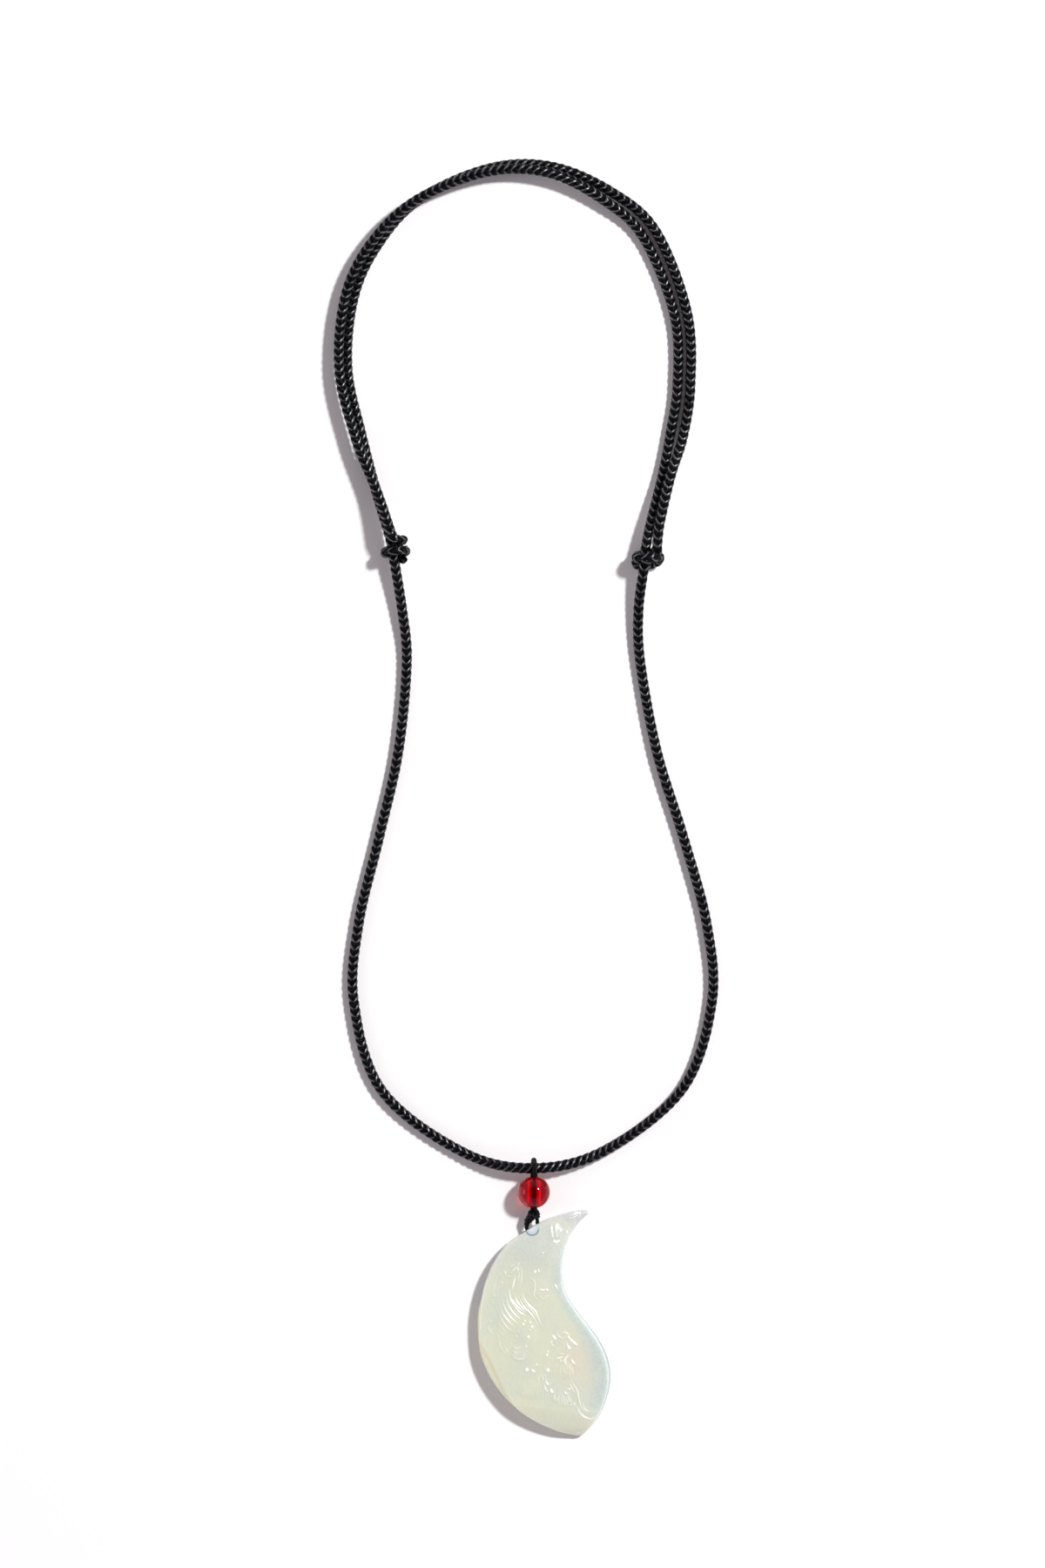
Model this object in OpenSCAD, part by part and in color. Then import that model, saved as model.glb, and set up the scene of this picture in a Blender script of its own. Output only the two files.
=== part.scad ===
// A jade pendant on a neck cord: a carved comma-shaped pendant, a red glass bead above it, the thin
// black thread that ties both to the cord, and the cord itself, whose two ends are sliding knots.
// The necklace lies flat. The origin is the middle of the pendant's back, +Y points up to the neck
// and +Z points out of the carved face. All sizes are in millimetres.

/* [Pendant] */
// Width of the pendant
pendant_w = 33; // [28:1:40]
// Height of the pendant, from the tip of its horn to its lowest corner
pendant_h = 56; // [48:1:68]
// Thickness of the pendant at its crown
pendant_t = 5; // [4:0.25:7]
// Height of the carved lines over the face
relief_h = 0.4; // [0.2:0.05:0.7]
// Width of a carved line where it is widest
carve_w = 0.8; // [0.5:0.05:1.1]
// Radius of the bend in the tunnel that the thread passes through
tunnel_bend_r = 1.3; // [1.1:0.1:1.6]

/* [Bead] */
// Diameter of the red bead
bead_d = 8; // [6:0.5:10]
// How far the bead hangs to the right of the middle of the tunnel
bead_offset = 0.45; // [0:0.05:0.6]

/* [Thread] */
// Diameter of the thin thread
thread_d = 1.1; // [0.8:0.05:1.2]
// Clearance all round the thread in the tunnel
thread_clear = 0.3; // [0.2:0.05:0.4]
// Diameter of the knot under the bead
thread_knot_d = 3.2; // [2.8:0.1:4]
// Length of the knot under the bead
thread_knot_l = 2.2; // [1.6:0.1:2.4]
// Bare thread between the bead and that knot
stem_l = 0.8; // [0.6:0.1:2]
// Bare thread between that knot and the straight mouths of the tunnel
leg_l = 2.2; // [2:0.1:4]

/* [Neck cord] */
// Diameter of the braided neck cord
cord_d = 2.8; // [2.2:0.1:2.8]
// Gap between the bead and the cord above it
bead_gap = 0.7; // [0.6:0.1:1.5]
// Thickness of the squeezed cord that the left knot is wound from
left_wrap_d = 2.2; // [1.8:0.1:2.4]
// Turns of the left knot
left_turns = 3; // [2:1:3]
// Thickness of the cord that the right knot is wound from
right_wrap_d = 2.8; // [2.2:0.1:2.9]
// Turns of the right knot
right_turns = 2; // [1:1:2]
// Share of its own thickness by which each turn of the right knot is set on from the last
right_pitch = 0.65; // [0.5:0.05:0.8]
// Gap between a knot and the cord that slides through it
slide_gap = 0.2; // [0.1:0.05:0.3]

/* [Hidden] */

cord_r = cord_d / 2;
thread_r = thread_d / 2;
bead_r = bead_d / 2;
skin = 0.05;
seat_gap = 0.1;
straight_l = 0.4;
overshoot = 1;
round_fn = 64;
wrap_fn = 24;
stud_fn = 6;
tube_sides = 8;
X = 0;
Y = 1;
Z = 2;

// Stations across the pendant from the tip of its horn to its lowest corner. Each row has the left
// edge's x and y, the right edge's x and y, and the height of the crown. The x are hundredths of
// pendant_w, the y hundredths of pendant_h, and the crown hundredths of pendant_t.
stations = [
    [ 31.8, 50,    33.5, 48.4, 24],
    [ 23,   49.6,  28,   45.6, 48],
    [ 10,   47.7,  22,   41,   68],
    [ -2.5, 45,    17.8, 36.5, 82],
    [-14,   41.2,  15,   30.8, 93],
    [-26.5, 35.8,  13.7, 24.6, 100],
    [-35.5, 29.6,  14.4, 18.4, 100],
    [-42,   22.7,  17.6, 12.2, 100],
    [-46.6, 15,    24.6,  5.8, 100],
    [-49.5,  6.2,  33.5, -0.8, 100],
    [-50,   -3,    41.5, -7.4, 100],
    [-48.5, -12.3, 47.4, -14.6, 100],
    [-43.5, -20.8, 50,   -22.7, 100],
    [-35.8, -28.5, 48.3, -30.8, 100],
    [-24.8, -35.8, 43,   -39.2, 100],
    [-11,   -42,   37.6, -44.2, 88],
    [  8,   -47.4, 33,   -47.2, 66],
    [ 25,   -49.9, 29.6, -49.2, 36]];

// Right half of the round-edged profile of every station: share of its half width and of its crown
profile = [[0.93, 0], [0.98, 0.1], [1, 0.3], [0.997, 0.5], [0.985, 0.69],
           [0.962, 0.84], [0.928, 0.95], [0.885, 1]];
face_share = 0.4;

// Sets of like carved lines. Each row has the number of lines, the start, bend and end of the first
// line, the start, bend and end of the last line, and the share of carve_w that they are wide.
// The places are hundredths of pendant_w and pendant_h, measured from the origin.
fans = [
    [9, [[-21.5, 13.5], [-20, 8], [-13.5, 5.2]], [[-35.5, -1.5], [-34, -4.5], [-29, -6.5]], 0.9],
    [8, [[7.5, -32], [7, -34], [8.5, -35.4]], [[20.5, -32.2], [21, -34.6], [23, -35.7]], 0.55],
    [4, [[-24, -9.8], [-21, -12.4], [-15.5, -9.8]], [[-22.5, -15], [-18.5, -18], [-14.5, -14.2]], 0.65],
    [7, [[-19.5, -26], [-21, -28], [-18.5, -30.5]], [[-1.5, -29], [-0.5, -31.5], [0.5, -33.5]], 0.6]];

// Single carved lines: start, bend and end, and the share of carve_w that they are wide
strokes = [
    [[-21.5, 21], [-23.5, 17.5], [-23, 14.5], 0.9],
    [[-16.8, 14], [-14, 9.5], [-7, 6.3], 1],
    [[-5.6, 5.2], [-2.5, 3], [-2, -0.8], 1],
    [[-14, 9.6], [-8.5, 5.5], [-5.2, 1], 0.8],
    [[-36, 16], [-38, 11], [-37.5, 7.5], 0.6],
    [[-41, 3.5], [-39.5, 1.5], [-38.5, 0], 0.6],
    [[-41, -1], [-39.5, -2.5], [-37.5, -4.2], 0.6],
    [[-24, 24], [-20.5, 27], [-19, 23.5], 0.7],
    [[-8, 23.5], [-5, 25.2], [-2, 22], 0.7],
    [[-9, 32.8], [-5, 33.5], [-1, 31.2], 0.6],
    [[4, 43], [3.5, 36.5], [9, 36.3], 0.8],
    [[10.5, 37.1], [14.5, 39.5], [12.5, 42.5], 0.7],
    [[17, 45.8], [22, 47.2], [26.5, 48.3], 0.8],
    [[-4.5, 16.3], [-11, 12.3], [-3.5, 10.5], 0.9],
    [[-2, 10.9], [4, 12.5], [-1.5, 16], 0.9],
    [[5.5, 17], [7.5, 16.5], [7, 14.3], 0.7],
    [[17.2, -6], [21, -8.6], [25, -9.5], 0.8],
    [[5.5, -5.5], [8.5, -4.5], [8, -8], 0.7],
    [[9.5, -15], [13.5, -14.4], [17.5, -14.8], 0.8],
    [[12, -17], [14.5, -14.5], [17, -12], 0.8],
    [[19.5, -15.8], [21, -17.6], [23, -18], 0.7],
    [[-14.5, -20], [-11, -20.4], [-8.5, -20.8], 1],
    [[-5, -22.5], [0, -25], [1.5, -29.5], 1],
    [[15, -28.5], [17, -31], [19.5, -29], 0.8],
    [[19, -25], [24, -30], [29, -37.4], 0.9],
    [[22.5, -24.8], [28.5, -30], [33, -37], 0.7],
    [[-39.5, -11], [-37, -20], [-23, -25], 0.9],
    [[-23.5, -28.5], [-17, -34.5], [-6, -36], 0.7]];

// Small oval studs of the carved neck and body
studs = [[-15, 2.4], [-10.5, 2.4], [-16.5, 0.6], [-8.5, -1.6], [-12, -5.6], [-20.6, -3.3],
         [-20.8, -5.7], [-21.4, -7.6], [2, -13.6], [4.5, -8.5], [18.4, -10.6], [-6.5, -17.8],
         [2, -20.5], [-3.5, -25], [12, 41.3], [16.5, 40]];
stud_w = 0.9 * carve_w;
stud_stretch = 0.2 * stud_w;
carving_foot = 0.2 * pendant_t;

// The tunnel is drilled in the top edge, near the horn. Its place is given in shares of the
// pendant's width, height and thickness, and its mouths run out through the edge.
tunnel_share = [-0.092, 0.42, 0.48];
tunnel = [tunnel_share[X] * pendant_w, tunnel_share[Y] * pendant_h, tunnel_share[Z] * pendant_t];
tunnel_r = thread_r + thread_clear;
mouth_l = 0.07 * pendant_h;
bow = [for (a = [180:-30:0]) tunnel + tunnel_bend_r * [cos(a), -sin(a), 0]];

// Whatever hangs above the pendant stands in one line over the tunnel
bead_x = tunnel[X] + bead_offset;
knot_tilt = 22;
knot_rise = 0.32 * thread_d;
knot_low = [bead_x, tunnel[Y] + leg_l, tunnel[Z] + knot_rise];
knot_axis = [0, cos(knot_tilt), sin(knot_tilt)];
knot_high = knot_low + thread_knot_l * knot_axis;
bead_y = knot_high[Y] + stem_l + bead_r;
bead = [bead_x, bead_y, bead_r];
cord_low = [bead_x, bead_y + bead_r + bead_gap + cord_r, 0];
strand_z = thread_r + skin;
bead_bore_r = thread_d + 2 * skin;
leg_straight = 0.2 * leg_l;
turn_half = 135;
turn_step = 30;

// The single run of the cord from the right knot, down round the pendant's thread and up to the
// left knot. Each row has the place across and up the chest, from the cord's lowest point, and
// the height over the table.
single_run = [
    [27.4, 149.8, 4.6], [25.9, 138, 2.5], [26.4, 125, 1.5], [30.5, 103, 1.5], [37, 82, 1.5],
    [42.8, 60.5, 1.5], [44.1, 41, 1.5], [36.8, 19.5, 1.5], [17.5, 4.2, 1.7], [0, 0, 4],
    [-17.5, 3.8, 1.7], [-37.6, 19, 1.5], [-44.6, 41, 1.5], [-43.4, 60.5, 1.5], [-38.3, 82, 1.5],
    [-33.6, 103, 1.5], [-31.5, 125, 1.5], [-32.6, 138, 2.3], [-35, 152.8, 4]];

// The doubled run from the left knot over the neck to the right knot. Each row has the place of
// its middle line across and up the chest, how far the strand that starts at the left knot lies
// outside that line, that strand's height, and the other strand's height.
double_run = [
    [-35.6, 157, -0.3, 7.1, 4.15], [-38.9, 167.3, -0.1, 4.9, 1.9], [-43.4, 181, 0.8, 4.1, 1.5],
    [-47.2, 198, 1, 3.8, 1.5], [-45.6, 215.8, 1, 3.7, 1.5], [-39.4, 228.8, 0.7, 4.2, 1.5],
    [-28.7, 239.6, 0, 4.5, 1.5], [-11.1, 247, -0.5, 4.3, 1.5], [4.3, 247, -0.9, 4, 1.5],
    [18.6, 240.4, -1.4, 2.6, 1.5], [28.8, 231, -1.7, 1.5, 1.5], [36.4, 211.5, -1.6, 1.5, 1.5],
    [37.2, 194, -1.6, 1.5, 1.5], [35.4, 181.5, -1.6, 1.5, 2.1], [32.9, 171.5, -1, 2, 4.7],
    [30, 159.5, -1.1, 3.9, 6], [29, 152.8, -1.4, 4.9, 6]];
long_span = 16;
left_pitch = 0.95;

function unit(v) = v / norm(v);

// Smooth curve through the points of a list, share k of the way from point i to the next
function near(list, i) = list[max(0, min(len(list) - 1, i))];
function curve(list, i, k) =
    let (a = near(list, i - 1), b = near(list, i), c = near(list, i + 1), d = near(list, i + 2))
    0.5 * (2 * b + (c - a) * k + (2 * a - 5 * b + 4 * c - d) * k * k
           + (3 * b - a - 3 * c + d) * k * k * k);
function steps(list, i) = norm(list[i + 1] - list[i]) > long_span ? 2 : 1;
function smooth(list) = [
    for (i = [0:len(list) - 2], n = [0:steps(list, i) - 1]) curve(list, i, n / steps(list, i)),
    list[len(list) - 1]];

// A tube of a few flat sides swept along a route, with a ring at each point
function heading(route, i) = unit(near(route, i + 1) - near(route, i - 1));
function ring(centre, along, up, r) =
    let (n = unit(up - (up * along) * along), b = cross(along, n))
    [for (a = [0:360 / tube_sides:359]) centre + r * (cos(a) * n + sin(a) * b)];
module tube(route, r, up) {
    last = len(route) - 1;
    rings = [for (i = [0:last]) each ring(route[i], heading(route, i), up, r)];
    sides = [for (i = [0:last - 1], j = [0:tube_sides - 1])
        let (a = i * tube_sides, k = (j + 1) % tube_sides)
        [a + k, a + j, a + tube_sides + j, a + tube_sides + k]];
    ends = [[for (j = [0:tube_sides - 1]) j],
            [for (j = [tube_sides - 1:-1:0]) last * tube_sides + j]];
    polyhedron(rings, concat(sides, ends), convexity = 8);
}

// The two strands of the doubled run, one on each side of its middle line
function middle(i) = [near(double_run, i)[X], near(double_run, i)[Y], 0];
function outward(i) = cross([0, 0, 1], unit(middle(i + 1) - middle(i - 1)));
function strand(side) = [for (i = [0:len(double_run) - 1])
    let (row = double_run[i])
    middle(i) + side * row[2] * outward(i) + [0, 0, side > 0 ? row[3] : row[4]]];
left_end = len(single_run) - 1;
left_centre = cord_low + single_run[left_end];
left_along = strand(-1)[0] - single_run[left_end - 1];
right_centre = cord_low + single_run[0];
right_along = strand(1)[len(double_run) - 1] - single_run[1];
cord_route = [for (p = smooth(concat(strand(1), single_run, strand(-1)))) cord_low + p];

// Place on the pendant from hundredths of its width and height
function place(p) = [p[X] * pendant_w, p[Y] * pendant_h] / 100;

// The smooth blank of the pendant, lofted through its stations, with its face lifted if asked
station_steps = 2;
function row_at(i, k) = curve(stations, i, k);
function half_points(row, side, lift) =
    let (l = place([row[0], row[1]]), r = place([row[2], row[3]]),
         mid = (l + r) / 2, half = (r - l) / 2, crown = min(row[4] / 100, 1) * pendant_t)
    [for (p = profile)
        let (xy = mid + side * p[0] * half)
        [xy[X], xy[Y], p[1] * crown + (p[1] > face_share ? lift : 0)]];
function reversed(list) = [for (i = [len(list) - 1:-1:0]) list[i]];
function section(row, lift) = concat(half_points(row, 1, lift), reversed(half_points(row, -1, lift)));
module blank(lift = 0) {
    rows = [for (i = [0:len(stations) - 2], k = [0:station_steps - 1]) row_at(i, k / station_steps),
            stations[len(stations) - 1]];
    count = 2 * len(profile);
    last = len(rows) - 1;
    points = [for (row = rows) each section(row, lift)];
    walls = [for (i = [0:last - 1], j = [0:count - 1])
        let (a = i * count, k = (j + 1) % count)
        each [[a + k, a + j, a + count + k], [a + count + k, a + j, a + count + j]]];
    ends = [[for (j = [0:count - 1]) j], [for (j = [count - 1:-1:0]) last * count + j]];
    polyhedron(points, concat(walls, ends), convexity = 6);
}

// One carved line seen from above: a bent ribbon that comes to a point at both ends
ribbon_parts = 4;
function bend(p, k) = (1 - k) * (1 - k) * p[0] + 2 * k * (1 - k) * p[1] + k * k * p[2];
function sideways(p, k) =
    let (d = unit(place(bend(p, k + 1 / ribbon_parts) - bend(p, k - 1 / ribbon_parts)))) [-d[Y], d[X]];
module ribbon(points, share) {
    edge = function (side, k)
        place(bend(points, k)) + side * share * carve_w / 2 * sin(180 * k) * sideways(points, k);
    polygon(concat([for (n = [0:ribbon_parts]) edge(1, n / ribbon_parts)],
                   [for (n = [ribbon_parts - 1:-1:1]) edge(-1, n / ribbon_parts)]));
}

module carving() {
    for (f = fans)
        for (n = [0:f[0] - 1])
            let (k = n / (f[0] - 1))
                ribbon((1 - k) * f[1] + k * f[2], f[3]);
    for (s = strokes)
        ribbon([s[0], s[1], s[2]], s[3]);
    for (s = studs)
        hull()
            for (side = [-1, 1])
                translate(place(s) + [side * stud_stretch, 0])
                    circle(d = stud_w, $fn = stud_fn);
}

// The tunnel: two straight mouths in the top edge, joined by a bend inside the jade
module thread_tunnel() {
    mouth = function (side) [tunnel + [side * tunnel_bend_r, mouth_l, 0]];
    tube(concat(mouth(-1), bow, mouth(1)), tunnel_r, [0, 0, 1]);
}

module jade_pendant() {
    color([0.84, 0.87, 0.8])
        difference() {
            union() {
                blank();
                intersection() {
                    blank(relief_h);
                    translate([0, 0, carving_foot])
                        linear_extrude(2 * pendant_t)
                            carving();
                }
            }
            thread_tunnel();
        }
}

module red_bead() {
    color([0.72, 0.02, 0.06])
        translate(bead)
            difference() {
                sphere(bead_r, $fn = round_fn);
                rotate([90, 0, 0])
                    cylinder(h = bead_d + 2 * overshoot, r = bead_bore_r, center = true, $fn = round_fn);
            }
}

// The thread up from its knot, through the bead, over the cord and back down through the bead
module thread_loop() {
    centre = [bead_x, cord_low[Y], bead_r];
    turn_r = (cord_r + thread_r + skin) / cos(turn_step / 2);
    turn = [for (a = [-turn_half:turn_step:turn_half]) centre + turn_r * [0, cos(a), sin(a)]];
    strand_at = function (y, side) [bead_x, y, bead_r + side * strand_z];
    foot = function (side) knot_high + side * strand_z * cross([1, 0, 0], knot_axis);
    half = function (side) [foot(side) + seat_gap * knot_axis,
                            foot(side) + straight_l * knot_axis,
                            strand_at(bead_y - bead_r, side),
                            strand_at(bead_y, side),
                            strand_at(bead_y + bead_r + skin, side)];
    color([0.04, 0.04, 0.05])
        tube(concat(half(-1), turn, reversed(half(1))), thread_r, [1, 0, 0]);
}

// The knot under the bead: a short barrel with flat ends for the strands to meet
module thread_knot() {
    color([0.05, 0.05, 0.06])
        translate(knot_low)
            rotate([knot_tilt - 90, 0, 0])
                intersection() {
                    translate([0, 0, thread_knot_l / 2])
                        sphere(d = thread_knot_d, $fn = round_fn);
                    cylinder(h = thread_knot_l, d = thread_knot_d + overshoot, $fn = round_fn);
                }
}

// The thread down from its knot, through the tunnel in the jade and back up to the knot
module thread_bight() {
    foot = function (side) knot_low + [side * strand_z, 0, 0];
    leg = function (side) [foot(side) - seat_gap * knot_axis,
                           foot(side) - straight_l * knot_axis,
                           tunnel + [side * tunnel_bend_r, leg_straight, 0]];
    color([0.04, 0.04, 0.05])
        tube(concat(leg(-1), bow, reversed(leg(1))), thread_r, [0, 0, 1]);
}

module neck_cord() {
    color([0.03, 0.03, 0.04])
        tube(cord_route, cord_r, [0, 0, 1]);
}

// A sliding knot: turns of cord side by side round the strand that slides through them
module sliding_knot(turns, wrap_d, pitch, along) {
    turn_r = cord_r + slide_gap + wrap_d / 2;
    rotate([0, 0, atan2(along[Y], along[X])])
        rotate([0, 90 - asin(unit(along)[Z]), 0])
            rotate_extrude($fn = round_fn)
                for (n = [0:turns - 1])
                    translate([turn_r, (n - (turns - 1) / 2) * pitch])
                        circle(d = wrap_d, $fn = wrap_fn);
}

module left_knot() {
    color([0.05, 0.05, 0.07])
        translate(left_centre)
            sliding_knot(left_turns, left_wrap_d, left_pitch * left_wrap_d, left_along);
}

module right_knot() {
    color([0.05, 0.05, 0.07])
        translate(right_centre)
            sliding_knot(right_turns, right_wrap_d, right_pitch * right_wrap_d, right_along);
}

jade_pendant();
red_bead();
thread_loop();
thread_knot();
thread_bight();
neck_cord();
left_knot();
right_knot();
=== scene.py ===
import math

import bpy
import numpy as np
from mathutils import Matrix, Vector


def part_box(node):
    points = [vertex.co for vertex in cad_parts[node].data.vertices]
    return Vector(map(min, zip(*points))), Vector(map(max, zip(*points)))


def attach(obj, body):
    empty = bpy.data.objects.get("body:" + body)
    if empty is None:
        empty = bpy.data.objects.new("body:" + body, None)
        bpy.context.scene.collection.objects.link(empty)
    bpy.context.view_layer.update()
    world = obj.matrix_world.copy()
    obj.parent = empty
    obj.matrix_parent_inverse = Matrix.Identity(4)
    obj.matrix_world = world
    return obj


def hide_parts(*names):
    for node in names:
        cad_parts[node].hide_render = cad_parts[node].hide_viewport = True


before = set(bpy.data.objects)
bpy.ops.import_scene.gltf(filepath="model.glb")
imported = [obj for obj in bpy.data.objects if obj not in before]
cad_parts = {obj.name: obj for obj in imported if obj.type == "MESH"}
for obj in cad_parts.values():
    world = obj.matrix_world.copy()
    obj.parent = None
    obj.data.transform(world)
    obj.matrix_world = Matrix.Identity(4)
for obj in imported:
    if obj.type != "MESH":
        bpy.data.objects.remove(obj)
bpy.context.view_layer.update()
scene = bpy.context.scene

# The setting: a plain white table, one soft lamp over the right shoulder, a pale card low on the
# left, pale light all round, and a camera that looks straight down on the necklace, as the
# photographer did.
MM = 0.001


class Shade:
    """One socket of a material. Sums written with it add the Math nodes that work them out."""

    def __init__(self, tree, socket=None):
        self.tree = tree
        self.socket = socket

    def make(self, kind, settings, inputs, out=0):
        """Any node: its type, its settings, and the values or links of its sockets"""
        node = self.tree.nodes.new("ShaderNode" + kind)
        for name, value in settings.items():
            setattr(node, name, value)
        self.fill(node, inputs)
        return Shade(self.tree, node.outputs[out])

    def fill(self, node, inputs):
        """Gives a node's sockets their links, colours and numbers"""
        for name, value in inputs.items():
            socket = node.inputs[name]
            if isinstance(value, Shade):
                self.tree.links.new(value.socket, socket)
            elif socket.type == "RGBA":
                socket.default_value = (*value, 1)
            else:
                socket.default_value = value

    def sum(self, operation, *values):
        return self.make("Math", {"operation": operation}, dict(enumerate(values)))

    def __add__(self, other):
        return self.sum("ADD", self, other)

    def __sub__(self, other):
        return self.sum("SUBTRACT", self, other)

    def __rsub__(self, other):
        return self.sum("SUBTRACT", other, self)

    def __mul__(self, other):
        return self.sum("MULTIPLY", self, other)

    def __truediv__(self, other):
        return self.sum("DIVIDE", self, other)

    def __pow__(self, other):
        return self.sum("POWER", self, other)

    def __abs__(self):
        return self.sum("ABSOLUTE", self)

    __radd__ = __add__
    __rmul__ = __mul__

    def lesser(self, other):
        return self.sum("MINIMUM", self, other)

    def between(self, low, high):
        """0 below low and 1 above high, with a soft step from one to the other"""
        return self.make("MapRange", {"interpolation_type": "SMOOTHSTEP"},
                         {"Value": self, "From Min": low, "From Max": high})

    def tint(self, first, second):
        """The first colour where this is 0 and the second where it is 1"""
        return self.make("Mix", {"data_type": "RGBA"}, {0: self, 6: first, 7: second}, 2)

    def parts(self):
        """The three numbers of a vector"""
        return [self.make("SeparateXYZ", {}, {0: self}, n) for n in range(3)]


def new_material(name):
    """A material, the shader that its surface uses, and a Shade that starts its sums"""
    material = bpy.data.materials.new(name)
    material.use_nodes = True
    tree = material.node_tree
    return material, tree.nodes["Principled BSDF"], Shade(tree)


def millimetres(start):
    """Places on a piece in millimetres, as seen in its own material"""
    place = start.make("TexCoord", {}, {}, "Object")
    return place.make("VectorMath", {"operation": "SCALE"}, {0: place, "Scale": 1 / MM})


def new_piece(name, points, faces, material, marks=None):
    """A smooth piece from its points and faces, and a mark of three numbers at each point"""
    mesh = bpy.data.meshes.new(name)
    mesh.from_pydata(points.tolist(), [], faces)
    mesh.shade_smooth()
    if marks is not None:
        layer = mesh.attributes.new("marks", "FLOAT_VECTOR", "POINT")
        layer.data.foreach_set("vector", marks.ravel())
    mesh.materials.append(material)
    piece = bpy.data.objects.new(name, mesh)
    scene.collection.objects.link(piece)
    return piece


view_middle = (-5.4 * MM, 133.5 * MM)
view_height = 388.8 * MM
camera_height = 1.6
eye = bpy.data.cameras.new("camera")
eye.sensor_fit = "VERTICAL"
eye.sensor_height = 36
eye.lens = eye.sensor_height * camera_height / view_height
camera = bpy.data.objects.new("camera", eye)
camera.location = (*view_middle, camera_height)
scene.collection.objects.link(camera)
scene.camera = camera
scene.view_settings.view_transform = "Standard"

lamp_reach = 2
lamp_height = math.radians(50)
lamp_way = (0.81, 0.58)
lamp = bpy.data.lights.new("key_lamp", "AREA")
lamp.shape = "DISK"
lamp.energy = 45
lamp.size = 0.24
lamp_stand = bpy.data.objects.new("key_lamp", lamp)
lamp_stand.location = (view_middle[0] + lamp_reach * math.cos(lamp_height) * lamp_way[0],
                       view_middle[1] + lamp_reach * math.cos(lamp_height) * lamp_way[1],
                       lamp_reach * math.sin(lamp_height))
lamp_stand.rotation_euler = (math.pi / 2 - lamp_height, 0,
                             math.atan2(lamp_way[1], lamp_way[0]) + math.pi / 2)
scene.collection.objects.link(lamp_stand)

card_reach = 1.5
card_rise = 0.37
card_up_table = 0.1
card = bpy.data.lights.new("side_card", "AREA")
card.shape = "ELLIPSE"
card.energy = 3.5
card.size = 0.9
card.size_y = 0.45
card_stand = bpy.data.objects.new("side_card", card)
card_stand.location = (view_middle[0] - card_reach, card_up_table, card_rise)
card_stand.rotation_euler = (math.pi / 2 - math.atan2(card_rise, card_reach), 0, -math.pi / 2)
card_stand.visible_camera = False
scene.collection.objects.link(card_stand)

sky = bpy.data.worlds.new("studio")
sky.use_nodes = True
start = Shade(sky.node_tree)
_, _, rise = start.make("TexCoord", {}, {}, "Generated").parts()
start.fill(sky.node_tree.nodes["Background"], {
    "Color": rise.between(0.55, 0.9).tint((0.81, 0.735, 0.78), (0.05, 0.045, 0.047)),
    "Strength": 1})
scene.world = sky

table_half = 2.5
table_top, table_shader, start = new_material("table_white")
grain = start.make("TexNoise", {}, {"Vector": millimetres(start), "Scale": 0.08})
start.fill(table_shader, {
    "Base Color": grain.tint((0.845, 0.845, 0.845), (0.855, 0.855, 0.855)),
    "Roughness": 0.8,
    "Specular IOR Level": 0.2})
corners = table_half * np.array([[-1, -1, 0], [1, -1, 0], [1, 1, 0], [-1, 1, 0]])
table = new_piece("table", corners, [[0, 1, 2, 3]], table_top)

# The neck cord and its two sliding knots: one length of round black nylon cord, braided from eight
# flat strands that go over two and under two. Each end is wound round the other side of the cord.
# It lies loose on the table, a single run below the knots and doubled above them.
cord_r = 1.4
bead_gap = 0.7
bead_low, bead_high = [np.array(corner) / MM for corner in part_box("red_bead")]
cord_low = np.array([(bead_low[0] + bead_high[0]) / 2, bead_high[1] + bead_gap + cord_r, 0])

# Place across and up the chest from the cord's lowest point, and height over the table
single_run = np.array([
    [27.4, 149.8, 4.6], [25.9, 138, 2.5], [26.4, 125, 1.5], [30.5, 103, 1.5], [37, 82, 1.5],
    [42.8, 60.5, 1.5], [44.1, 41, 1.5], [36.8, 19.5, 1.5], [17.5, 4.2, 1.7], [0, 0, 4],
    [-17.5, 3.8, 1.7], [-37.6, 19, 1.5], [-44.6, 41, 1.5], [-43.4, 60.5, 1.5], [-38.3, 82, 1.5],
    [-33.6, 103, 1.5], [-31.5, 125, 1.5], [-32.6, 138, 2.3], [-35, 152.8, 4]])

# Place of the middle line, how far the strand that starts at the left knot lies outside it, that
# strand's height, and the other strand's height
double_run = np.array([
    [-35.6, 157, -0.3, 7.1, 4.15], [-38.9, 167.3, -0.1, 4.9, 1.9], [-43.4, 181, 0.8, 4.1, 1.5],
    [-47.2, 198, 1, 3.8, 1.5], [-45.6, 215.8, 1, 3.7, 1.5], [-39.4, 228.8, 0.7, 4.2, 1.5],
    [-28.7, 239.6, 0, 4.5, 1.5], [-11.1, 247, -0.5, 4.3, 1.5], [4.3, 247, -0.9, 4, 1.5],
    [18.6, 240.4, -1.4, 2.6, 1.5], [28.8, 231, -1.7, 1.5, 1.5], [36.4, 211.5, -1.6, 1.5, 1.5],
    [37.2, 194, -1.6, 1.5, 1.5], [35.4, 181.5, -1.6, 1.5, 2.1], [32.9, 171.5, -1, 2, 4.7],
    [30, 159.5, -1.1, 3.9, 6], [29, 152.8, -1.4, 4.9, 6]])


def unit(vectors):
    """The same ways, each one long"""
    return vectors / np.linalg.norm(vectors, axis=-1, keepdims=True)


def curve(rows, at):
    """The smooth curve through rows of numbers, at places counted in rows"""
    last = len(rows) - 1
    i = np.clip(np.floor(at).astype(int), 0, last - 1)
    k = (at - i)[:, None]
    a, b, c, d = (rows[np.clip(i + n, 0, last)] for n in (-1, 0, 1, 2))
    return 0.5 * (2 * b + (c - a) * k + (2 * a - 5 * b + 4 * c - d) * k ** 2
                  + (3 * b - a - 3 * c + d) * k ** 3)


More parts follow.
